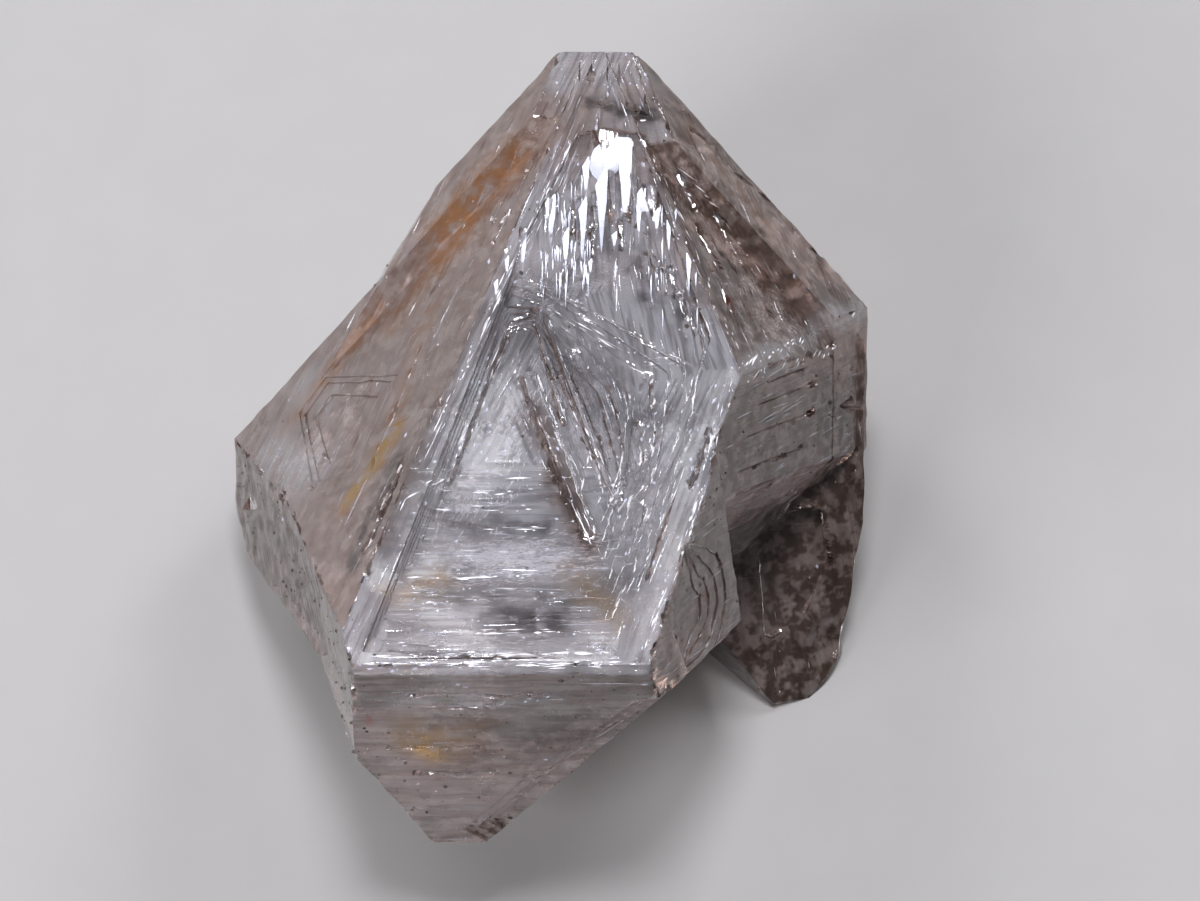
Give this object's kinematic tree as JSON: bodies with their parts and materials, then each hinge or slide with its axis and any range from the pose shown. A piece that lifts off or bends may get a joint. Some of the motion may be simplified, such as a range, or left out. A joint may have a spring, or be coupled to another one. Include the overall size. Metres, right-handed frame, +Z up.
{
  "type": "skeletal quartz crystal",
  "caption": "A clear to smoky skeletal quartz crystal with a deep stepped hopper face, raised striated rims, a blunt summit, a lower front point and a darker lobe grown from one side",
  "frame": {"origin": "centre of the footprint on the ground, under the middle of the bounding box", "axes": "+X to the right and +Y to the back as the crystal lies with its hopper face up, +Z up, square to the hopper face"},
  "size_m": [0.0438, 0.051, 0.0265],
  "materials": {
    "quartz": "natural growth faces, clear and glossy on the hopper face, frosted and rust-stained on the outer faces"
  },
  "bodies": {
    "root": {"crystal": "quartz"}
  },
  "joints": []
}
